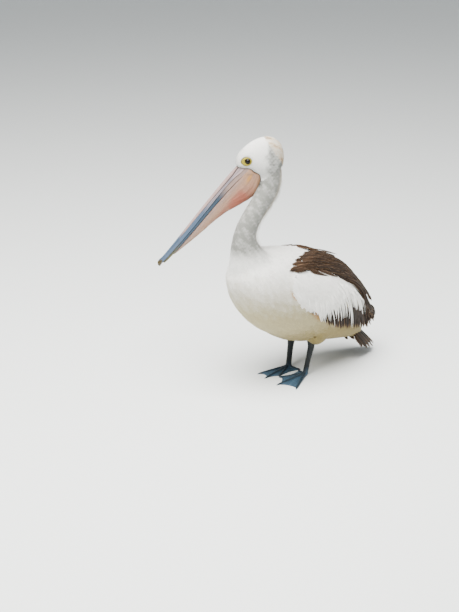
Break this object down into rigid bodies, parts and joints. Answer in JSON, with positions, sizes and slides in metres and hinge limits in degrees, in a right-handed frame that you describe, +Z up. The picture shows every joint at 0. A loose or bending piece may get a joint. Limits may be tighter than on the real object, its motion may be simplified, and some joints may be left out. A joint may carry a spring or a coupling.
{
  "type": "standing pelican figure",
  "caption": "Life-size still figure of a standing Australian pelican with folded wings, its long bill and pouch pointing down and its head turned a little aside.",
  "frame": {"origin": "middle of the bounding box's base, on the floor that the feet stand on", "axes": "+Z up, -Y the way the body faces, +X the bird's left"},
  "size_m": [0.392, 0.8432, 0.9103],
  "materials": {
    "white_plumage": "matte white feathers",
    "cream_plumage": "matte cream feathers",
    "brown_plumage": "matte dark brown feathers",
    "black_plumage": "matte blackish feathers",
    "eye": "wet gloss",
    "bill_horn": "satin pink horn",
    "bill_slate": "satin blue-grey horn",
    "bill_nail": "satin orange-yellow horn",
    "pouch_skin": "soft bare skin",
    "leg_skin": "scaly bare skin",
    "foot_skin": "scaly bare skin and web"
  },
  "bodies": {
    "root": {"trunk": "white_plumage", "neck_lower": "white_plumage", "neck_middle": "white_plumage", "neck_upper": "white_plumage", "head": "white_plumage", "eye_left": "eye", "eye_right": "eye", "bill_upper": "bill_horn", "bill_nail": "bill_nail", "bill_lower": "bill_slate", "pouch": "pouch_skin", "tail": "brown_plumage", "scapulars_left": "brown_plumage", "coverts_left": "white_plumage", "flight_feathers_left": "black_plumage", "thigh_left": "cream_plumage", "leg_left": "leg_skin", "foot_left": "foot_skin", "scapulars_right": "brown_plumage", "coverts_right": "white_plumage", "flight_feathers_right": "black_plumage", "thigh_right": "cream_plumage", "leg_right": "leg_skin", "foot_right": "foot_skin"}
  },
  "joints": []
}
